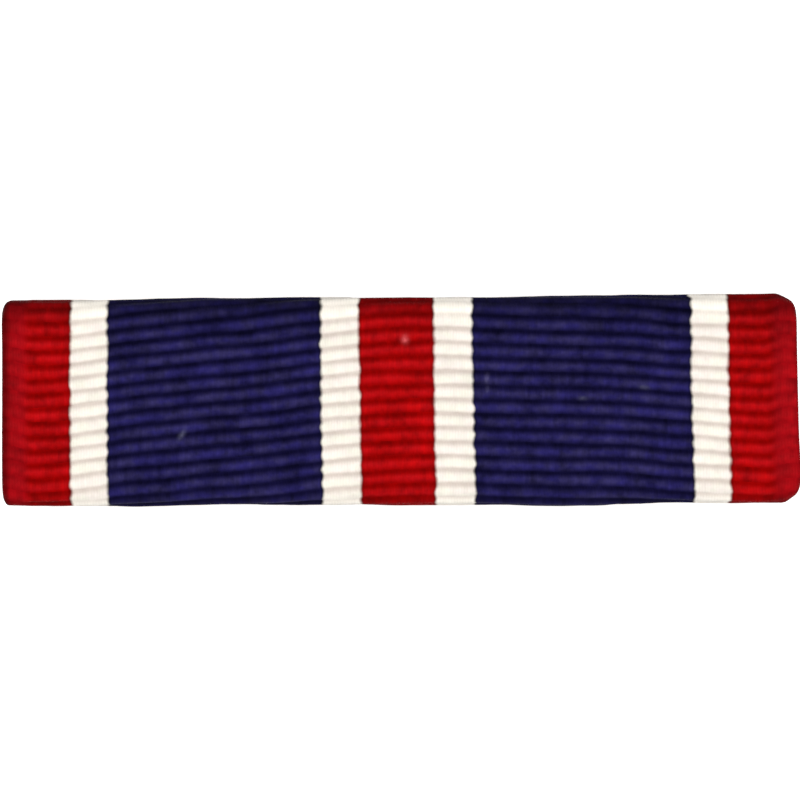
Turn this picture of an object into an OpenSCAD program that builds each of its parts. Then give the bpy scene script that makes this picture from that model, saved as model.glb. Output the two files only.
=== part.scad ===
// Ribbon bar: a striped, ribbed ribbon wound over a small metal plate that is
// worn on two posts with clutches. It lies on its clutches with its face up:
// +X runs along the bar, +Y is the upper edge of the face and +Z leaves the face.

/* [Ribbon] */
// Width of the woven ribbon, which is the length of the face
ribbon_w = 34.9; // [30:0.1:40]
// Height of the face, from fold to fold
face_h = 9.05; // [8:0.05:13]
// Thickness of the weave in a groove
weave_t = 0.4; // [0.3:0.05:0.8]
// Height of a rib above the grooves beside it
rib_rise = 0.13; // [0.06:0.01:0.2]
// Distance from one rib to the next
rib_pitch = 0.62; // [0.5:0.02:1]
// Width of the groove between two ribs
groove_w = 0.08; // [0.04:0.02:0.2]
// Width of the bare metal between the two ends of the ribbon, on the back
bare_w = 3.4; // [3:0.1:4.5]

/* [Plate] */
// Thickness of the metal plate
plate_t = 1; // [0.7:0.1:1.6]
// Distance from each side of the ribbon to the end of the plate
plate_inset = 0.3; // [0.2:0.1:1]
// Corner radius of the plate
plate_corner_r = 0.9; // [0.4:0.1:1.5]
// Gap between the plate and the ribbon round it
ribbon_gap = 0.03; // [0.02:0.01:0.1]

/* [Posts] */
// Distance from each side of the ribbon to the middle of a post
post_inset = 6.45; // [5:0.05:9]
// Radius of a post
post_r = 0.55; // [0.4:0.05:0.7]
// Radius of the foot that is soldered to the plate
foot_r = 1.3; // [1:0.05:1.4]
// Thickness of the foot
foot_t = 0.3; // [0.2:0.05:0.5]
// Length of the pointed tip
tip_l = 1; // [0.5:0.1:1.5]
// Radius of the blunted point
point_r = 0.12; // [0.05:0.01:0.2]

/* [Clutches] */
// Room for the pinned cloth, between the ribbon and a clutch
cloth_room = 1.5; // [0.8:0.1:2.5]
// Radius of the flange that faces the cloth
flange_r = 4; // [3.5:0.1:4.2]
// Thickness of the flange
flange_t = 0.9; // [0.6:0.1:1.4]
// Radius of the head behind the flange
head_r = 3.2; // [2.5:0.1:3.4]
// Height of the head
head_h = 2.9; // [2.4:0.1:4]
// Radius of the rounded rims
rim_r = 0.4; // [0.2:0.05:0.45]
// Metal left between the bore and the back of the clutch
clutch_floor = 0.6; // [0.4:0.1:1]
// Gap between a post and the bore round it
bore_gap = 0.05; // [0.03:0.01:0.1]
// Gap between the tip of a post and the bottom of the bore
tip_gap = 0.25; // [0.1:0.05:0.5]

/* [Hidden] */
$fn = 64;

// Each stripe from left to right: colour, and share of the ribbon's width in thousandths
STRIPES = [
    ["firebrick", 85],
    ["ivory", 46.5],
    ["midnightblue", 270],
    ["ivory", 48.5],
    ["firebrick", 93.5],
    ["ivory", 48.5],
    ["midnightblue", 276],
    ["ivory", 46.5],
    ["firebrick", 85.5]
];

// Each corner of the face: side in X, side in Y, and radius as a share of the face's height
CORNERS = [
    [-1, 1, 0.05],
    [-1, -1, 0.045],
    [1, 1, 0.08],
    [1, -1, 0.065]
];

// The wound body
cloth_t = ribbon_gap + weave_t + rib_rise;
body_t = plate_t + 2 * cloth_t;
plate_h = face_h - 2 * cloth_t;
straight = plate_h - plate_t;
hollow_r = plate_t / 2 + ribbon_gap;
groove_r = hollow_r + weave_t;

// The ribs, which follow the ribbon from the middle of the face round both folds
rib_w = rib_pitch - groove_w;
rib_r = (pow(rib_w / 2, 2) + pow(rib_rise, 2)) / (2 * rib_rise);
fold_l = PI * groove_r;
flap_l = (straight - bare_w) / 2;
ribs_each_way = floor((straight / 2 + fold_l + flap_l - rib_w / 2) / rib_pitch);

// The posts: how far each one stands from the middle of the bar
post_x = ribbon_w / 2 - post_inset;

// Heights above the surface that the clutches rest on
clutch_h = head_h + flange_t;
back_z = clutch_h + cloth_room;
plate_z = back_z + body_t / 2;
point_z = clutch_floor + tip_gap;
post_l = plate_z - plate_t / 2 - point_z;
over = 1;

// How far the weave of a stripe runs on into the next stripe, so that all are one cloth
weave_in = 0.05;

function share_before(i) = i == 0 ? 0 : share_before(i - 1) + STRIPES[i - 1][1];
function stripe_x(i) = ribbon_w * (share_before(i) / share_before(len(STRIPES)) - 0.5);

// Where a rib lies, at a distance s along the ribbon from the middle of the face:
// place across the bar, height from the plate's middle, and turn
function rib_place(s) = let (a = abs(s), side = sign(s), turn = (a - straight / 2) / groove_r * 180 / PI)
    a <= straight / 2 ? [s, groove_r, 0]
    : turn <= 180 ? [side * (straight / 2 + groove_r * sin(turn)), groove_r * cos(turn), -side * turn]
    : [side * (straight / 2 - (a - straight / 2 - fold_l)), -groove_r, 180];

// Turns an outline drawn across the bar and stretches it along the bar
module along_bar(length) {
    rotate([90, 0, 90]) linear_extrude(length) children();
}

// A strip with fully round edges, given by the radius of its edges
module stadium(r) {
    square([straight, 2 * r], center = true);
    for (side = [-1, 1])
        translate([side * straight / 2, 0]) circle(r);
}

// One rib in section, with its root in the weave
module rib_section() {
    intersection() {
        translate([0, rib_rise - rib_r]) circle(rib_r);
        translate([-rib_w / 2, -weave_t / 2]) square([rib_w, weave_t / 2 + rib_rise]);
    }
}

// The ribbon across the bar: the weave, its ribs and the opening between its two ends
module ribbon_section() {
    difference() {
        union() {
            stadium(groove_r);
            for (i = [-ribs_each_way : ribs_each_way]) {
                place = rib_place(i * rib_pitch);
                translate([place[0], place[1]]) rotate(place[2]) rib_section();
            }
        }
        stadium(hollow_r);
        translate([-bare_w / 2, -body_t]) square([bare_w, body_t]);
    }
}

// What a rounded corner takes off, with the sharp corner at the origin
module corner_cut(r) {
    difference() {
        translate([-r, -r]) square(r + over);
        translate([-r, -r]) circle(r);
    }
}

// The same at one corner of a face of the given size
module face_corner(length, height, side_x, side_y, r) {
    translate([side_x * length / 2, side_y * height / 2, plate_z - body_t])
        mirror([side_x < 0 ? 1 : 0, 0, 0])
            mirror([0, side_y < 0 ? 1 : 0, 0])
                linear_extrude(2 * body_t) corner_cut(r);
}

module ribbon() {
    last = len(STRIPES) - 1;
    difference() {
        for (i = [0 : last])
            color(STRIPES[i][0])
                translate([stripe_x(i), 0, plate_z])
                    along_bar(stripe_x(i + 1) - stripe_x(i) + (i < last ? weave_in : 0)) ribbon_section();
        for (c = CORNERS)
            face_corner(ribbon_w, face_h, c[0], c[1], c[2] * face_h);
    }
}

// One post, from the plate down to its point, with its foot
module post() {
    rotate([180, 0, 0]) rotate_extrude()
        polygon([
            [0, -plate_t / 4],
            [foot_r, -plate_t / 4],
            [foot_r, foot_t],
            [post_r, foot_t],
            [post_r, post_l - tip_l],
            [point_r, post_l],
            [0, post_l]
        ]);
}

module bar() {
    length = ribbon_w - 2 * plate_inset;
    color("goldenrod") {
        difference() {
            translate([-length / 2, 0, plate_z])
                along_bar(length) stadium(plate_t / 2);
            for (side_x = [-1, 1], side_y = [-1, 1])
                face_corner(length, plate_h, side_x, side_y, plate_corner_r);
        }
        for (side = [-1, 1])
            translate([side * post_x, 0, plate_z - plate_t / 2]) post();
    }
}

// The outline of a clutch from its axis outwards, with a rounded head and flange
module clutch_section() {
    square([head_r - rim_r, head_h + over / 2]);
    translate([0, rim_r]) square([head_r, head_h - rim_r + flange_t / 2]);
    translate([head_r - rim_r, rim_r]) circle(rim_r);
    translate([0, head_h]) square([flange_r - flange_t / 2, flange_t]);
    translate([flange_r - flange_t / 2, head_h + flange_t / 2]) circle(flange_t / 2);
}

module clutch(side) {
    color("goldenrod")
        translate([side * post_x, 0, 0])
            difference() {
                rotate_extrude() clutch_section();
                translate([0, 0, clutch_floor]) cylinder(r = post_r + bore_gap, h = clutch_h);
            }
}

module clutch_left() {
    clutch(-1);
}

module clutch_right() {
    clutch(1);
}

ribbon();
bar();
clutch_left();
clutch_right();
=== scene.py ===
"""The looks of the ribbon bar: a ribbed, striped ribbon wound over a brass plate with posts and clutches.

Lengths are written in millimetres and turned into metres by MM where they meet Blender. +X runs along
the bar, +Y is the upper edge of the face and +Z leaves the face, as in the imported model.
"""

import math

import bpy
import numpy as np
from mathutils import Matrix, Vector, noise


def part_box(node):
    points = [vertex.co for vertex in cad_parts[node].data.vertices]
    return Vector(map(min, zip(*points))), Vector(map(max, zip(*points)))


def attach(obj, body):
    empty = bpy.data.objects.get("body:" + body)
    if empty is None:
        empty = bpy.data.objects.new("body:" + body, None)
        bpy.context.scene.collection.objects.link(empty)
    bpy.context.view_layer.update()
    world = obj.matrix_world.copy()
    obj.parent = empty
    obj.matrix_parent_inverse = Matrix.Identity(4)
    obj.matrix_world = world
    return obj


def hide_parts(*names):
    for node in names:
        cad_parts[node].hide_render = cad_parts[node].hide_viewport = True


MM = 0.001

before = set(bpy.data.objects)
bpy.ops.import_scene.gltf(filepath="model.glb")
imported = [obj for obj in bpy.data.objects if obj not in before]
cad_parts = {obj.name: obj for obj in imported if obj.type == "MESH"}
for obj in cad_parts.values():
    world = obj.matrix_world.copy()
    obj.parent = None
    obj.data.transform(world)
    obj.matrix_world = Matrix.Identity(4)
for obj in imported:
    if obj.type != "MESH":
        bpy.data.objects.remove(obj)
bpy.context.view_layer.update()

# The photograph's frame, in pixels, and the ribbon in it
FRAME_PX = 800
LEFT_PX = 2.0
RIGHT_PX = 797.2
MIDDLE_Y_PX = 401.0
TILT_DEG = 0.37

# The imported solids, in millimetres
ribbon_low, ribbon_high = (np.array(corner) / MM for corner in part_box("ribbon"))
bar_high = np.array(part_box("bar")[1]) / MM
WIDTH = ribbon_high[0] - ribbon_low[0]
HEIGHT = ribbon_high[1] - ribbon_low[1]
MIDDLE_Z = (ribbon_high[2] + ribbon_low[2]) / 2
CLOTH_AND_GAP = ribbon_high[2] - bar_high[2]
PLATE_T = ribbon_high[2] - ribbon_low[2] - 2 * CLOTH_AND_GAP
BARE_W = 3.4

# The weave
GAP = 0.03
RIB_RISE = 0.13
RIB_PITCH = 0.62
YARN_PITCH = 0.125
WEAVE_T = CLOTH_AND_GAP - GAP - RIB_RISE
GROOVE_R = PLATE_T / 2 + GAP + WEAVE_T
HALF_STRAIGHT = HEIGHT / 2 - GROOVE_R - RIB_RISE

# Each stripe from left to right: colour, share of the width in thousandths, how far in millimetres its
# right side swings out and back with each rib, and how far that side leans to the right near the upper
# and near the lower edge of the face
STRIPES = [
    ("red", 86.2, 0.024, 0.03, 0.0),
    ("white", 45.5, 0.048, 0.01, 0.0),
    ("blue", 270.3, 0.054, 0.0, 0.02),
    ("white", 47.3, 0.032, -0.03, 0.04),
    ("red", 94.8, 0.025, 0.0, 0.05),
    ("white", 47.9, 0.053, -0.03, 0.09),
    ("blue", 275.7, 0.055, 0.0, 0.11),
    ("white", 45.7, 0.032, -0.01, 0.09),
    ("red", 86.6, 0.0, 0.0, 0.0),
]
LEAN_Y = 3.4

# The bow of the ribs: share of the width from the left, how far a rib has risen there, and how much more
# it rises near the upper edge of the face
BOW = [
    (0.0, 0.66, 0.0),
    (0.018, 0.57, 0.0),
    (0.033, 0.4, 0.06),
    (0.05, 0.4, 0.05),
    (0.072, 0.43, 0.0),
    (0.1, 0.56, -0.06),
    (0.12, 0.65, -0.06),
    (0.153, 0.85, -0.08),
    (0.182, 0.94, -0.09),
    (0.211, 1.01, -0.05),
    (0.257, 1.19, -0.03),
    (0.3, 1.3, -0.05),
    (0.34, 1.43, 0.0),
    (0.382, 1.62, -0.01),
    (0.425, 1.79, -0.03),
    (0.47, 1.905, 0.04),
    (0.558, 1.955, 0.04),
    (0.62, 1.895, -0.03),
    (0.684, 1.82, -0.02),
    (0.785, 1.725, -0.04),
    (0.845, 1.52, -0.01),
    (0.873, 1.465, -0.01),
    (0.94, 1.3, 0.04),
    (0.965, 1.28, 0.12),
    (0.98, 1.46, 0.12),
    (1.0, 1.45, 0.0),
]

# How the ribs wander: how far, how often along the bar and across it, and the seed
WANDER = [
    (0.05, 0.45, 0.9, 3.7),
    (0.02, 1.6, 1.6, 8.1),
]

# How unevenly high the ribs are: by what share, how often along the bar and across it, and the seed
UNEVEN_HEIGHT = (0.2, 0.9, 1.6, 5.3)

# The two folded edges: share of the width, and how far the upper and the lower edge stand out
EDGES = [
    (0.0, 0.06, 0.0),
    (0.15, 0.04, 0.05),
    (0.25, 0.09, 0.03),
    (0.4, 0.09, 0.05),
    (0.5, 0.06, 0.09),
    (0.62, 0.06, 0.1),
    (0.7, 0.1, 0.19),
    (0.76, 0.1, 0.16),
    (0.83, 0.09, 0.055),
    (0.93, 0.13, 0.09),
    (1.0, 0.13, 0.085),
]

# The two woven sides: share of the height of the face, and how far the left and the right side stand out
SIDES = [
    (0.0, 0.05, 0.15),
    (0.09, 0.046, 0.2),
    (0.16, 0.045, 0.175),
    (0.31, 0.04, 0.105),
    (0.5, 0.025, 0.07),
    (0.77, 0.01, 0.035),
    (1.0, 0.03, 0.03),
]

# How far in from a woven side the cloth moves with it
SIDE_REACH = 2

# The corners of the face: side in X, side in Y, and length along the bar and across it
CORNERS = [
    (-1, 1, 0.4, 0.22),
    (-1, -1, 0.22, 0.12),
    (1, 1, 0.86, 0.47),
    (1, -1, 0.66, 0.56),
]
CORNER_POWER = 1.2

# The selvages: width of the smoother band, how softly it ends as a share of that width, share of the relief
# left in it, and how high it stands as a share of the rise of a rib
SELVAGE_W = 1.05
SELVAGE_END = 0.2
SELVAGE_RELIEF = 0.15
SELVAGE_LIFT = 0.9

# Share of the relief left where the ribs turn over the upper and over the lower fold, and the distances
# into a fold at which the relief starts to go, is lowest, starts to come back and is whole again
UPPER_FOLD_RELIEF = 0.45
LOWER_FOLD_RELIEF = 0.65
FOLD_RELIEF_AT = (0.2, 0.6, 1.1, 1.6)

# The shape of a rib: a lower power gives flatter tops and narrower grooves. In a white stripe the power is
# lower by RIB_POWER_WHITE, and the cloth stands higher by WHITE_LIFT as a share of the rise of a rib. Both
# change over WHITE_BLEND to each side of a stripe's edge.
RIB_POWER = 0.8
RIB_POWER_WHITE = 0.5
WHITE_LIFT = 0.4
WHITE_BLEND = 0.1

# Roundness of the woven sides and of the two cut ends
EDGE_R = 0.24
END_R = 0.2

# Where one groove crosses the face: share of the width, and distance above the middle
GROOVE_AT = 0.4906
GROOVE_Y = 0.095

# How finely the ribbon's grid is divided across its width
SIDE_PLACES = 7
SELVAGE_STEP = 0.12
SELVAGE_PAST = 0.5
MIDDLE_PLACES = 84

# How finely it is divided along its length. FLAP_ABOUT is a round figure for the length of a flap, which
# places the rows of its rounded end, and FLAP_EVEN_FROM is the share from which the rows are evenly spaced.
END_ROWS = 5
FLAP_ROWS = 26
FOLD_ROWS = 56
FACE_ROWS = 137
FLAP_ABOUT = 3
FLAP_EVEN_FROM = 0.09

# The shares of the texture's height that the outer and the inner layer take, and where the inner one starts
OUTER_UV = 0.79
INNER_UV = 0.19
INNER_UV_FROM = 0.81


def linear(*rgb):
    """A colour given as 0 to 255 in sRGB, as Blender's linear values."""
    values = [c / 255 for c in rgb]
    return tuple(c / 12.92 if c <= 0.04045 else ((c + 0.055) / 1.055) ** 2.4 for c in values) + (1.0,)


def grey(level):
    return (level, level, level, 1)


def smooth_table(rows, column, at):
    """A smooth curve through one column of a table whose first column is where each value holds."""
    x = np.array([row[0] for row in rows], float)
    y = np.array([row[column] for row in rows], float)
    slope = np.gradient(y, x)
    i = np.clip(np.searchsorted(x, at) - 1, 0, len(x) - 2)
    step = x[i + 1] - x[i]
    t = np.clip((at - x[i]) / step, 0, 1)
    start = (2 * t**3 - 3 * t**2 + 1) * y[i] + (t**3 - 2 * t**2 + t) * step * slope[i]
    end = (-2 * t**3 + 3 * t**2) * y[i + 1] + (t**3 - t**2) * step * slope[i + 1]
    return start + end


def smoothstep(low, high, value):
    t = np.clip((value - low) / (high - low), 0, 1)
    return t * t * (3 - 2 * t)


def round_edge(distance, radius):
    """Share of the thickness left at a distance from an edge that is rounded."""
    return np.sqrt(np.clip(1 - (1 - np.clip(distance / radius, 0, 1)) ** 2, 0, 1))


# The ribbon's grid


def white_stripes():
    """The left and the right side of each white stripe: its place, swing, and lean at both edges."""
    total = sum(stripe[1] for stripe in STRIPES)
    left = (-WIDTH / 2, 0, 0, 0)
    found = []
    for colour, share, *changes in STRIPES:
        right = (left[0] + share / total * WIDTH, *changes)
        if colour == "white":
            found.append((left, right))
        left = right
    return found


def across_places():
    """Places across the ribbon's width, close together at both selvages."""
    turns = np.linspace(0, math.pi / 2, SIDE_PLACES)
    edge = EDGE_R * (1 - np.cos(turns))
    band = np.arange(EDGE_R, SELVAGE_W + SELVAGE_PAST, SELVAGE_STEP)[1:]
    near = np.concatenate([edge, band])
    middle = np.linspace(near[-1], WIDTH - near[-1], MIDDLE_PLACES)[1:-1]
    return np.concatenate([near, middle, WIDTH - near[::-1]]) - WIDTH / 2


def wrap_rows():
    """The rows along the wound ribbon as (stretch, side, share of that stretch), from end to end."""
    end = END_R * np.sin(np.linspace(0, math.pi / 2, END_ROWS)) / FLAP_ABOUT
    flap = np.concatenate([end, np.linspace(FLAP_EVEN_FROM, 1, FLAP_ROWS)])
    fold = np.linspace(0, 1, FOLD_ROWS)[1:]
    face = np.linspace(-1, 1, FACE_ROWS)
    lower = [("flap", -1, 1 - q) for q in flap[:-1]] + [("fold", -1, q) for q in fold[::-1]]
    upper = [("fold", 1, q) for q in fold] + [("flap", 1, q) for q in (1 - flap[:-1])[::-1]]
    return lower + [("face", 0, q) for q in face] + upper


def half_straight(side, x):
    """Half the flat stretch of the face towards one folded edge, with that edge's waviness and corners."""
    share = x / WIDTH + 0.5
    half = HALF_STRAIGHT + smooth_table(EDGES, 1 if side > 0 else 2, share)
    for side_x, side_y, along, over in CORNERS:
        if side_y == side:
            near = np.clip(1 - (WIDTH / 2 - side_x * x) / along, 0, 1)
            half = half - over * (1 - (1 - near**CORNER_POWER) ** (1 / CORNER_POWER))
    return half


def wound(rows, x):
    """The wound ribbon, by row and column.

    Gives the distance along the ribbon, the place across the bar, the height, and the direction outwards.
    """
    size = (len(rows), len(x))
    along, y, z, out_y, out_z = (np.zeros(size) for _ in range(5))
    half = {side: half_straight(side, x) for side in (-1, 1)}
    for i, (stretch, side, share) in enumerate(rows):
        if stretch == "face":
            y[i] = along[i] = share * half[1 if share > 0 else -1]
            z[i], out_z[i] = GROOVE_R, 1
        elif stretch == "fold":
            turn = share * math.pi
            y[i] = side * (half[side] + GROOVE_R * math.sin(turn))
            z[i] = GROOVE_R * math.cos(turn)
            out_y[i], out_z[i] = side * math.sin(turn), math.cos(turn)
            along[i] = side * (half[side] + GROOVE_R * turn)
        else:
            flap = share * (half[side] - BARE_W / 2)
            y[i] = side * (half[side] - flap)
            z[i], out_z[i] = -GROOVE_R, -1
            along[i] = side * (half[side] + GROOVE_R * math.pi + flap)
    return along, y, z, out_y, out_z


def uneven(x, along, scale_x, scale_along, seed):
    """Smooth noise of about -1 to 1 over the ribbon, the same on every run."""
    x, along = np.broadcast_arrays(x, along)
    at = zip((x * scale_x).ravel(), (along * scale_along).ravel())
    return np.array([noise.noise(Vector((u, v, seed))) for u, v in at]).reshape(x.shape)


def rib_count(along, x):
    """Which rib a point lies on: a whole number in a groove, and a half on a crest."""
    share = x / WIDTH + 0.5
    rise = smooth_table(BOW, 1, share) - smooth_table(BOW, 1, np.array([GROOVE_AT]))
    rise = rise + smooth_table(BOW, 2, share) * smoothstep(0, 1, along / HALF_STRAIGHT)
    wander = sum(far * uneven(x, along, *how) for far, *how in WANDER)
    return (along - rise - GROOVE_Y + wander) / RIB_PITCH


def rib_profile(count, fullness):
    """The height of the ribs, from 0 in a groove to 1 on a crest."""
    return (0.5 - 0.5 * np.cos(2 * math.pi * count)) ** (RIB_POWER - RIB_POWER_WHITE * fullness)


def white_share(x):
    """1 inside a white stripe and 0 outside, with a soft change between them."""
    share = 0
    for left, right in white_stripes():
        share = share + smoothstep(left[0] - WHITE_BLEND, left[0] + WHITE_BLEND, x)
        share = share - smoothstep(right[0] - WHITE_BLEND, right[0] + WHITE_BLEND, x)
    return share


def outer_height(x, along, count, selvage):
    """The height of the ribbon's outer side above its grooves, as a share of the rise of a rib."""
    going, lowest, coming, whole = FOLD_RELIEF_AT
    into_fold = np.abs(along) - HALF_STRAIGHT
    fold = smoothstep(going, lowest, into_fold) - smoothstep(coming, whole, into_fold)
    fold_relief = np.where(along > 0, UPPER_FOLD_RELIEF, LOWER_FOLD_RELIEF)
    relief = (1 - (1 - SELVAGE_RELIEF) * selvage) * (1 - (1 - fold_relief) * fold)
    fullness = white_share(x)
    share, *how = UNEVEN_HEIGHT
    height = 1 + share * uneven(x, along, *how) - WHITE_LIFT * fullness
    ribs = WHITE_LIFT * fullness + rib_profile(count, fullness) * height
    return SELVAGE_LIFT * (1 - relief) + relief * ribs


def to_cut_end(along):
    """How far each point is from the cut end on its side of the face."""
    ends = np.abs(along[[0, -1]])
    return np.where(along < 0, ends[0] - np.abs(along), ends[1] - np.abs(along))


def sideways(x, y):
    """How far each point moves along the bar, because the woven sides aren't straight."""
    share = np.clip(y / HEIGHT + 0.5, 0, 1)
    right = smoothstep(WIDTH / 2 - SIDE_REACH, WIDTH / 2, x) * smooth_table(SIDES, 2, share)
    left = smoothstep(WIDTH / 2 - SIDE_REACH, WIDTH / 2, -x) * smooth_table(SIDES, 1, share)
    return right - left


def layer_points(shape):
    """The numbers of the points in the outer and in the inner layer, which share the points of the rim."""
    rows, columns = shape
    outer = np.arange(rows * columns).reshape(shape)
    inner = outer.copy()
    inner[1:-1, 1:-1] = np.arange((rows - 2) * (columns - 2)).reshape(rows - 2, columns - 2) + outer.size
    return outer, inner


def quad_corners(grid):
    """The four corner values of each face of a grid of values, a row for each face."""
    return np.stack([grid[:-1, :-1], grid[:-1, 1:], grid[1:, 1:], grid[1:, :-1]], -1).reshape(-1, 4)


def uv_corners(u, v):
    """Places on the texture for the corners of each face."""
    return np.stack([quad_corners(u), quad_corners(v)], -1)


def both_layers(outer, inner):
    """Values of the outer layer, and then those of the inner one without its rim."""
    width = outer.shape[2:]
    return np.concatenate([outer.reshape(-1, *width), inner[1:-1, 1:-1].reshape(-1, *width)])


def make_ribbon():
    x = across_places()
    along, y, z, out_y, out_z = wound(wrap_rows(), x)
    count = rib_count(along, x)
    to_side = WIDTH / 2 - np.abs(x)
    selvage = 1 - smoothstep(SELVAGE_W * (1 - SELVAGE_END), SELVAGE_W * (1 + SELVAGE_END), to_side)
    body = round_edge(to_side, EDGE_R) * round_edge(to_cut_end(along), END_R)
    middle = -WEAVE_T / 2
    outer_lift = middle + body * (RIB_RISE * outer_height(x, along, count, selvage) - middle)
    inner_lift = middle + body * (-WEAVE_T - middle)

    spread = np.broadcast_to(x, y.shape)
    place_x = spread + sideways(x, y)
    layers = []
    for lift in (outer_lift, inner_lift):
        layers.append(np.stack([place_x, y + out_y * lift, MIDDLE_Z + z + out_z * lift], -1))
    outer, inner = layer_points(y.shape)
    faces = np.concatenate([quad_corners(outer), quad_corners(inner)[:, ::-1]])
    mesh = bpy.data.meshes.new("woven_ribbon")
    mesh.from_pydata((both_layers(*layers) * MM).tolist(), [], faces.tolist())
    mesh.polygons.foreach_set("use_smooth", np.ones(len(mesh.polygons), bool))

    share_x = spread / WIDTH + 0.5
    share_y = (along - along[0].min()) / (along[-1].max() - along[0].min())
    outer_uv = uv_corners(share_x, share_y * OUTER_UV)
    inner_uv = uv_corners(share_x, INNER_UV_FROM + share_y * INNER_UV)[:, ::-1]
    uv = np.concatenate([outer_uv, inner_uv]).ravel()
    mesh.uv_layers.new(name="OFBake").uv.foreach_set("vector", uv.astype(np.float32))
    selvage = np.broadcast_to(selvage, y.shape)
    for name, values in (("across", spread), ("along", along), ("rib", count), ("selvage", selvage)):
        layer = mesh.attributes.new(name, "FLOAT", "POINT")
        layer.data.foreach_set("value", both_layers(values, values).astype(np.float32))
    piece = bpy.data.objects.new("woven_ribbon", mesh)
    bpy.context.scene.collection.objects.link(piece)
    return piece


ribbon = make_ribbon()
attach(ribbon, "root")
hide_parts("ribbon")


# Materials


class Graph:
    """A material's nodes, made by short calls.

    A value may be a number, a colour or another node's output.
    """

    def __init__(self, name):
        self.material = bpy.data.materials.new(name)
        self.material.use_nodes = True
        self.nodes = self.material.node_tree.nodes
        self.links = self.material.node_tree.links
        self.surface = self.nodes["Principled BSDF"]

    def put(self, socket, value):
        if isinstance(value, bpy.types.NodeSocket):
            self.links.new(value, socket)
        else:
            socket.default_value = value

    def set(self, name, value):
        self.put(self.surface.inputs[name], value)

    def math(self, operation, *values, clamp=False):
        node = self.nodes.new("ShaderNodeMath")
        node.operation = operation
        node.use_clamp = clamp
        for socket, value in zip(node.inputs, values):
            self.put(socket, value)
        return node.outputs[0]

    def times(self, value, by):
        """A product, which needs no node where the factor is 1."""
        return value if by == 1 else self.math("MULTIPLY", value, by)

    def add_times(self, value, by, to):
        """A product, added to another value."""
        return self.math("MULTIPLY_ADD", value, by, to)

    def centred(self, value):
        """A value of 0 to 1, moved to lie about 0."""
        return self.math("SUBTRACT", value, 0.5)

    def mix(self, share, first, second, blend="MIX"):
        node = self.nodes.new("ShaderNodeMix")
        node.data_type = "RGBA"
        node.blend_type = blend
        self.put(node.inputs[0], share)
        self.put(node.inputs[6], first)
        self.put(node.inputs[7], second)
        return node.outputs[2]

    def remap(self, value, low, high, to_low=0.0, to_high=1.0, kind="SMOOTHSTEP"):
        node = self.nodes.new("ShaderNodeMapRange")
        node.interpolation_type = kind
        for socket, number in zip(node.inputs, (value, low, high, to_low, to_high)):
            self.put(socket, number)
        return node.outputs[0]

    def band(self, value, start, full, end, over):
        """A mask that rises from start to full, and falls again from end to over."""
        return self.times(self.remap(value, start, full), self.remap(value, end, over, 1.0, 0.0))

    def attribute(self, name):
        node = self.nodes.new("ShaderNodeAttribute")
        node.attribute_name = name
        return node.outputs["Fac"]

    def vector(self, x, y, z=0.0):
        node = self.nodes.new("ShaderNodeCombineXYZ")
        for socket, value in zip(node.inputs, (x, y, z)):
            self.put(socket, value)
        return node.outputs[0]

    def noise(self, place, scale, detail):
        node = self.nodes.new("ShaderNodeTexNoise")
        self.put(node.inputs["Vector"], place)
        self.put(node.inputs["Scale"], scale)
        self.put(node.inputs["Detail"], detail)
        return node.outputs["Fac"]

    def random(self, place):
        node = self.nodes.new("ShaderNodeTexWhiteNoise")
        self.put(node.inputs["Vector"], place)
        return node.outputs["Value"]

    def place(self, scale):
        """Where the surface lies in the object, times a scale for each axis."""
        where = self.nodes.new("ShaderNodeTexCoord")
        node = self.nodes.new("ShaderNodeVectorMath")
        node.operation = "MULTIPLY"
        self.links.new(where.outputs["Object"], node.inputs[0])
        node.inputs[1].default_value = scale
        return node.outputs[0]

    def bump(self, height, distance, strength):
        node = self.nodes.new("ShaderNodeBump")
        self.put(node.inputs["Height"], height)
        self.put(node.inputs["Distance"], distance)
        self.put(node.inputs["Strength"], strength)
        self.set("Normal", node.outputs[0])


TURN = 2 * math.pi
BLACK = (0, 0, 0, 1)

# The two folds, where shade is painted into the threads' colour, and where the ribs open and their painted
# light and shade differ less. Each row gives the side in Y and four distances along the ribbon from the
# middle of the face, at which a change starts, is full, ends again and is over. The last number is how much
# darker the painted shade makes the threads, or how much less crest and groove differ.
FOLD_SHADE = [
    (1, 3.4, 4.0, 4.8, 5.5, 0.3),
    (-1, 4.0, 4.6, 4.8, 5.5, 0.32),
]
FOLD_EVEN = [
    (1, 3.95, 4.3, 4.8, 5.5, 0.6),
    (-1, 4.0, 4.6, 4.8, 5.5, 0.2),
]

# Painted shade that darkens the face a little towards its upper edge: where it starts and is full, and how
# much
UPPER_SHADE = (2.2, 3.3, 0.12)

# Painted shade in a darker line along the upper fold, where the cloth turns from the light: where it
# starts, is full, ends again and is over, and how much darker
UPPER_LINE = (4.3, 4.55, 4.8, 5.2, 0.3)

# Thread colours, with the light and shade of the ribs painted in: on the lit crest of a rib, on the lit
# crest where the dye took otherwise, and in the painted shade deep in a groove
THREADS = {
    "red": (linear(158, 6, 9), linear(156, 8, 14), linear(120, 0, 0)),
    "white": (linear(222, 213, 206), linear(219, 215, 203), linear(194, 183, 174)),
    "blue": (linear(31, 27, 77), linear(38, 34, 73), linear(10, 8, 37)),
}
SELVAGE_COLOUR = linear(132, 6, 14)
SELVAGE_COVER = 0.75
# A lighter white painted over the folds as painted light, and how much of it covers the white threads there
WHITE_FOLD = linear(240, 234, 223)
WHITE_FOLD_COVER = 0.7

# How far the painted dark of a groove lies below it, as a share of the pitch, and how much steeper the
# painted shade is on one flank of a rib than on the other
SHADE_SHIFT = 0.12
SHADE_SKEW = 0.05

# How far the swing of a stripe's side lies below the ribs, as a share of the pitch
SWING_SHIFT = 0.15

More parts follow.
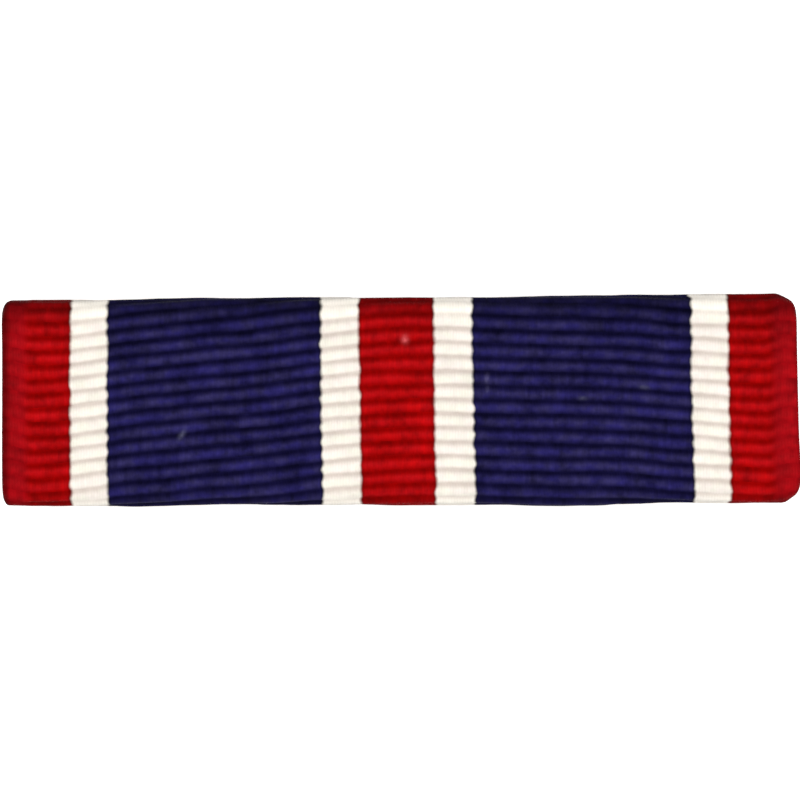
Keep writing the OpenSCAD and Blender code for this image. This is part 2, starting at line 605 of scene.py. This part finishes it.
# The sides of the white stripes: half the width over which the colour changes, how ragged they are, the
# least and the greatest swing as a share of its own, and how far into a white stripe blue turns to red
STRIPE_SOFT = 0.09
STRIPE_RAGGED = 0.25
SWING_SHARES = (0.3, 1.7)
UNDER_WHITE = 0.5

# A darker band beside a white stripe: where it starts and is full, and how much darker it is
BESIDE_WHITE = (-0.2, -0.03, 0.42)

# Noise over the cloth: how often along the bar and along the ribbon, layer, scale and detail
NOISES = {
    "ragged": (1.0, 1.0, 0.0, 1.3, 2.0),
    "swing": (0.4, 1.0, 0.0, 0.9, 1.0),
    "streaks": (0.8, 3.7, 0.0, 1.0, 3.0),
    "patches": (0.7, 1.1, 3.0, 1.0, 1.0),
    "dye": (1.0, 1.4, 7.0, 1.5, 2.0),
    "grain": (1.0, 1.0, 0.0, 3.2, 2.0),
    "fray": (1.0, 1.0, 5.0, 7.0, 2.0),
}

# How much the patches, the grain and each yarn's own shade tell, and how much all of it tells by colour
PATCHES_TELL = 0.35
GRAIN_TELLS = 0.65
YARN_TELLS = 0.1
RED_UNEVEN = 1.2
BLUE_UNEVEN = 1.7
WHITE_UNEVEN = 0.25

# The values of noise between which the swing and the dye change
SWING_RANGE = (0.3, 0.7)
DYE_RANGE = (0.35, 0.65)

# The shade between two yarns, and how round a yarn is where that shade ends
YARN_EDGE = 0.96
YARN_FULL = 0.8

# The cloth's surface: roughness in a groove and on a crest, gloss, light scattered in the white threads and
# how far, and the yarns' relief with the share of it that is left in a groove
GROOVE_ROUGHNESS = 0.85
CREST_ROUGHNESS = 0.6
CLOTH_GLOSS = 0.02
WHITE_SCATTER = 0.5
SCATTER_R = 0.2
YARN_RELIEF = 0.012
YARN_IN_GROOVE = 0.4
YARN_STRENGTH = 0.8

# Lint caught in the weave: place along the bar and across it, length, width, turn in degrees, colour, and
# how much of it covers the threads
LINT = [
    (-9.57, -1.42, 0.44, 0.21, 55, (96, 96, 124), 0.42),
    (0.25, 2.7, 0.33, 0.29, 80, (236, 112, 116), 0.36),
    (3.83, 0.96, 0.34, 0.22, 85, (104, 98, 136), 0.3),
    (3.86, 0.47, 0.28, 0.18, 85, (80, 76, 114), 0.3),
    (8.05, 0.08, 0.36, 0.18, 0, (86, 86, 106), 0.28),
    (10.73, 0.55, 0.46, 0.19, -8, (84, 84, 100), 0.32),
]
LINT_FRAY = 1.5

# Darker bands along the woven sides, the narrow ones at the very edge painted shade where the rounded side
# turns from the light: side in X, distances from that side at which they start, are darkest, turn lighter
# again and end, and how much darker they are
SIDE_SHADE = [
    (-1, -0.2, -0.1, 0.16, 0.42, 0.5),
    (-1, -0.2, -0.1, 0.0, 1.0, 0.16),
    (1, -0.2, -0.1, 0.0, 0.1, 0.12),
    (1, 0.5, 0.8, 1.1, 1.5, 0.12),
]


def cloth_noise(g, name, across, along):
    """One of the noises over the cloth."""
    by_across, by_along, layer, scale, detail = NOISES[name]
    return g.noise(g.vector(g.times(across, by_across), g.times(along, by_along), layer), scale, detail)


def rib_light(g, rib):
    """How much painted light the ribs catch, from 0 in the painted dark of a groove to 1 on the lit flank.
    """
    shaded = g.times(g.math("ADD", rib, SHADE_SHIFT), TURN)
    lit = g.add_times(g.math("COSINE", shaded), -0.5, 0.5)
    return g.add_times(g.math("SINE", g.times(shaded, 2.0)), -SHADE_SKEW, lit)


def fold_shade(g, along):
    """A mask of both folds, and how much painted shade darkens the threads at the folds and towards the
    upper edge.
    """
    start, full, most = UPPER_SHADE
    fold = 0.0
    darker = g.remap(along, start, full, 0.0, most)
    for side, *places, share in FOLD_SHADE:
        mask = g.band(g.times(along, side), *places)
        fold = g.math("ADD", mask, fold)
        darker = g.add_times(mask, share, darker)
    return fold, darker


def even_light(g, along, lit):
    """The same painted light, with less between crest and groove at the folds."""
    for side, *places, share in FOLD_EVEN:
        even = g.times(g.band(g.times(along, side), *places), share)
        lit = g.add_times(g.math("SUBTRACT", 0.5, lit), even, lit)
    return lit


def within_white(g, across, along, rib):
    """How far inside a white stripe a point lies, less than 0 outside."""
    swing = g.remap(cloth_noise(g, "swing", across, along), *SWING_RANGE, *SWING_SHARES, "LINEAR")
    early = g.times(g.math("ADD", rib, SWING_SHIFT), TURN)
    swing = g.times(g.times(g.math("COSINE", early), -0.5), swing)
    up = g.math("DIVIDE", along, LEAN_Y, clamp=True)
    down = g.math("DIVIDE", along, -LEAN_Y, clamp=True)
    white = -1.0
    for stripe in white_stripes():
        inside = 1.0
        for side, (place, side_swing, upper, lower) in zip((-1, 1), stripe):
            lean = g.add_times(up, upper, g.times(down, lower))
            distance = g.times(g.math("SUBTRACT", g.math("ADD", lean, place), across), side)
            inside = g.math("MINIMUM", g.add_times(swing, side_swing, distance), inside)
        white = g.math("MAXIMUM", inside, white)
    ragged = g.times(g.centred(cloth_noise(g, "ragged", across, along)), STRIPE_RAGGED)
    return g.math("ADD", white, ragged)


def blue_threads(g, across):
    """A mask of the blue threads, whose edges lie under the white stripes."""
    third, fourth = (stripe[0][0] + UNDER_WHITE for stripe in white_stripes()[2:])
    from_middle = g.math("ABSOLUTE", across)
    return g.times(g.math("LESS_THAN", from_middle, fourth), g.math("GREATER_THAN", from_middle, third))


def thread_colours(g, lit, dye):
    """The colour of the red, the white and the blue threads, with that painted light and shade of the ribs.
    """
    colours = {}
    for name, (top, other, groove) in THREADS.items():
        share = g.times(lit, g.math("SUBTRACT", 2.0, lit)) if name == "white" else lit
        colours[name] = g.mix(share, groove, g.mix(dye, top, other))
    return colours


def with_lint(g, colour, across, along):
    """The same colour, with the frayed specks of lint over it."""
    frayed = g.times(g.centred(cloth_noise(g, "fray", across, along)), LINT_FRAY)
    for x, y, length, width, degrees, lint_colour, cover in LINT:
        turn = math.radians(degrees)
        right = g.math("SUBTRACT", across, x)
        ahead = g.math("SUBTRACT", along, y)
        reached = []
        for by_right, by_ahead, size in (
            (math.cos(turn), math.sin(turn), length),
            (-math.sin(turn), math.cos(turn), width),
        ):
            distance = g.add_times(right, by_right, g.times(ahead, by_ahead))
            reached.append(g.math("POWER", g.math("DIVIDE", distance, size / 2), 2.0))
        away = g.times(g.math("ADD", g.math("ADD", *reached), frayed), -1.0)
        share = g.math("MULTIPLY", g.math("EXPONENT", away), cover, clamp=True)
        colour = g.mix(share, colour, linear(*lint_colour))
    return colour


def cloth_material():
    g = Graph("ribbon_cloth")
    across, rib, along = (g.attribute(name) for name in ("across", "rib", "along"))
    index = g.math("FLOOR", rib)
    crest = g.add_times(g.math("COSINE", g.times(rib, TURN)), -0.5, 0.5)
    yarn = g.math("ADD", g.math("DIVIDE", across, YARN_PITCH), g.times(index, 0.5))
    yarn_round = g.math("SINE", g.times(g.math("FRACT", yarn), math.pi))

    fold, darker = fold_shade(g, along)
    patches = g.centred(cloth_noise(g, "patches", across, along))
    # The painted light and shade of the ribs, weaker at the folds
    lit = g.add_times(patches, PATCHES_TELL, even_light(g, along, rib_light(g, rib)))
    dye = g.remap(cloth_noise(g, "dye", across, along), *DYE_RANGE)
    colours = thread_colours(g, lit, dye)
    within = within_white(g, across, along, rib)
    white = g.remap(within, -STRIPE_SOFT, STRIPE_SOFT)
    blue = blue_threads(g, across)

    start, full, most = BESIDE_WHITE
    # The painted shade of the line along the upper fold
    line = g.times(g.band(along, *UPPER_LINE[:-1]), UPPER_LINE[-1])
    colour = g.mix(blue, colours["red"], colours["blue"])
    colour = g.mix(g.times(g.attribute("selvage"), SELVAGE_COVER), colour, SELVAGE_COLOUR)
    # Darker beside the white stripes, then painted shade at the folds, towards the upper edge and along the
    # upper fold
    for share in (g.remap(within, start, full, 0.0, most), darker, line):
        colour = g.mix(share, colour, BLACK)
    # Darker bands along the woven sides, painted shade at the very edge
    for side, *places, share in SIDE_SHADE:
        to_side = g.math("ADD", g.times(across, -side), WIDTH / 2)
        colour = g.mix(g.times(g.band(to_side, *places), share), colour, BLACK)
    # The white threads, with a lighter white painted over the folds as painted light
    colour = g.mix(white, colour, g.mix(g.times(fold, WHITE_FOLD_COVER), colours["white"], WHITE_FOLD))

    tells = g.mix(white, g.mix(blue, grey(RED_UNEVEN), grey(BLUE_UNEVEN)), grey(WHITE_UNEVEN))
    shade = g.centred(cloth_noise(g, "streaks", across, index))
    shade = g.add_times(g.centred(cloth_noise(g, "grain", across, along)), GRAIN_TELLS, shade)
    own_shade = g.random(g.vector(g.math("FLOOR", yarn), index))
    shade = g.add_times(g.centred(own_shade), YARN_TELLS, shade)
    shade = g.add_times(shade, tells, 1.0)
    shade = g.times(shade, g.remap(yarn_round, 0.0, YARN_FULL, YARN_EDGE, 1.0, "LINEAR"))
    colour = g.mix(1.0, colour, g.vector(shade, shade, shade), "MULTIPLY")

    g.set("Base Color", with_lint(g, colour, across, along))
    g.set("Roughness", g.remap(crest, 0.0, 1.0, GROOVE_ROUGHNESS, CREST_ROUGHNESS, "LINEAR"))
    g.set("Specular IOR Level", CLOTH_GLOSS)
    g.set("Subsurface Weight", g.times(white, WHITE_SCATTER))
    g.set("Subsurface Radius", (1.0, 1.0, 1.0))
    g.set("Subsurface Scale", SCATTER_R * MM)
    g.bump(g.times(yarn_round, g.math("ADD", YARN_IN_GROOVE, crest)), YARN_RELIEF * MM, YARN_STRENGTH)
    return g.material


# The metal: detail of its fine lines, the values of noise between which they change, and how much rougher
# and smoother they make it
LINE_DETAIL = 3.0
LINE_RANGE = (0.3, 0.7)
LINE_ROUGHNESS = 0.07
LINE_RELIEF = 0.004
LINE_STRENGTH = 0.6

# Its patches of tarnish: scale and detail, the values of noise between which they come, how much they cover
# and how much rougher they are
TARNISH_SCALE = (260, 260, 260)
TARNISH_DETAIL = 2.5
TARNISH_RANGE = (0.45, 0.75)
TARNISH_COVER = 0.5
TARNISH_ROUGHNESS = 0.2

# Each metal: colour, colour of its tarnish, scale of its lines along X, Y and Z, and roughness
METALS = {
    "plate_metal": (linear(206, 168, 96), linear(128, 88, 44), (120, 9000, 9000), 0.36),
    "clutch_metal": (linear(222, 184, 106), linear(150, 108, 56), (500, 500, 9000), 0.28),
}


def metal_material(name, colour, dark, stretch, roughness):
    """Satin brass with fine lines in one direction and patches of tarnish."""
    g = Graph(name)
    lines = g.noise(g.place(stretch), 1.0, LINE_DETAIL)
    patches = g.noise(g.place(TARNISH_SCALE), 1.0, TARNISH_DETAIL)
    tarnish = g.remap(patches, *TARNISH_RANGE, 0.0, TARNISH_COVER)
    smoothest = roughness - LINE_ROUGHNESS
    roughest = roughness + LINE_ROUGHNESS
    rough = g.remap(lines, *LINE_RANGE, smoothest, roughest, "LINEAR")
    g.set("Base Color", g.mix(tarnish, colour, dark))
    g.set("Metallic", 1.0)
    g.set("Roughness", g.math("ADD", rough, g.times(tarnish, TARNISH_ROUGHNESS)))
    g.bump(lines, LINE_RELIEF * MM, LINE_STRENGTH)
    return g.material


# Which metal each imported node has
METAL_OF = {
    "bar": "plate_metal",
    "clutch_left": "clutch_metal",
    "clutch_right": "clutch_metal",
}

ribbon.data.materials.append(cloth_material())
metals = {name: metal_material(name, *values) for name, values in METALS.items()}
for node, metal in METAL_OF.items():
    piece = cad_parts[node]
    piece.data.materials.clear()
    piece.data.materials.append(metals[metal])


# The floor, the light and the camera

# The floor, with half its side in metres
FLOOR_HALF = 2.0
FLOOR_COLOUR = (0.93, 0.93, 0.93, 1.0)
FLOOR_ROUGHNESS = 0.9

# Each light: place, width, power, and whether the floor is all that it lights or all that it leaves out
LIGHTS = {
    "key": ((0, -50, 450), 220, 1.92, "EXCLUDE"),
    "overhead": ((0, 0, 600), 150, 4.3, "INCLUDE"),
}

# The studio's walls: brightness above and below, and the heights between which it changes, each given as
# the sine of the angle above level
WALLS_ABOVE = 0.64
WALLS_BELOW = 0.6
WALLS_CHANGE = (-0.1, 0.5)

# The camera, in millimetres apart from where it starts to see, which is in metres
LENS = 200
SENSOR_W = 36
CLIP_START_M = 0.001


def make_floor():
    corners = [(x * FLOOR_HALF, y * FLOOR_HALF, 0) for x, y in ((-1, -1), (1, -1), (1, 1), (-1, 1))]
    mesh = bpy.data.meshes.new("floor")
    mesh.from_pydata(corners, [], [(0, 1, 2, 3)])
    floor = bpy.data.objects.new("floor", mesh)
    bpy.context.scene.collection.objects.link(floor)
    g = Graph("floor")
    g.set("Base Color", FLOOR_COLOUR)
    g.set("Roughness", FLOOR_ROUGHNESS)
    mesh.materials.append(g.material)
    floor.visible_diffuse = False
    return floor


def area_light(name, place, width, power):
    """A square light at a place in millimetres that faces the middle of the bar."""
    light = bpy.data.lights.new(name, "AREA")
    light.size = width * MM
    light.energy = power
    lamp = bpy.data.objects.new(name, light)
    lamp.location = [c * MM for c in place]
    towards = -lamp.location.normalized()
    lamp.rotation_mode = "QUATERNION"
    lamp.rotation_quaternion = towards.to_track_quat("-Z", "Y")
    bpy.context.scene.collection.objects.link(lamp)
    return lamp


def reach(lamp, floor, state):
    """Lets a light reach only the floor, or everything but the floor."""
    group = bpy.data.collections.new(lamp.name + "_reach")
    group.objects.link(floor)
    group.collection_objects[0].light_linking.link_state = state
    lamp.light_linking.receiver_collection = group


def make_world():
    """White studio walls that darken towards the ground."""
    world = bpy.data.worlds.new("studio")
    world.use_nodes = True
    nodes, links = world.node_tree.nodes, world.node_tree.links
    where = nodes.new("ShaderNodeTexCoord")
    split = nodes.new("ShaderNodeSeparateXYZ")
    links.new(where.outputs["Generated"], split.inputs[0])
    fade = nodes.new("ShaderNodeMapRange")
    fade.interpolation_type = "SMOOTHSTEP"
    links.new(split.outputs["Z"], fade.inputs[0])
    for socket, value in zip(fade.inputs[1:], (*WALLS_CHANGE, WALLS_BELOW, WALLS_ABOVE)):
        socket.default_value = value
    links.new(fade.outputs[0], nodes["Background"].inputs["Strength"])
    nodes["Background"].inputs["Color"].default_value = (1, 1, 1, 1)
    bpy.context.scene.world = world


def make_camera():
    data = bpy.data.cameras.new("camera")
    data.lens = LENS
    data.sensor_width = SENSOR_W
    data.clip_start = CLIP_START_M
    camera = bpy.data.objects.new("camera", data)
    px_per_mm = (RIGHT_PX - LEFT_PX) / WIDTH
    seen = FRAME_PX / px_per_mm
    face_z = ribbon_high[2] - RIB_RISE / 2
    camera.location = (
        -((LEFT_PX + RIGHT_PX) / 2 - FRAME_PX / 2) / px_per_mm * MM,
        (MIDDLE_Y_PX - FRAME_PX / 2) / px_per_mm * MM,
        (face_z + seen * data.lens / data.sensor_width) * MM,
    )
    camera.rotation_euler = (0, 0, -math.radians(TILT_DEG))
    bpy.context.scene.collection.objects.link(camera)
    bpy.context.scene.camera = camera


floor = make_floor()
make_world()
for name, (place, width, power, state) in LIGHTS.items():
    reach(area_light(name, place, width, power), floor, state)
make_camera()
bpy.context.scene.view_settings.view_transform = "Standard"
bpy.context.scene.view_settings.look = "None"
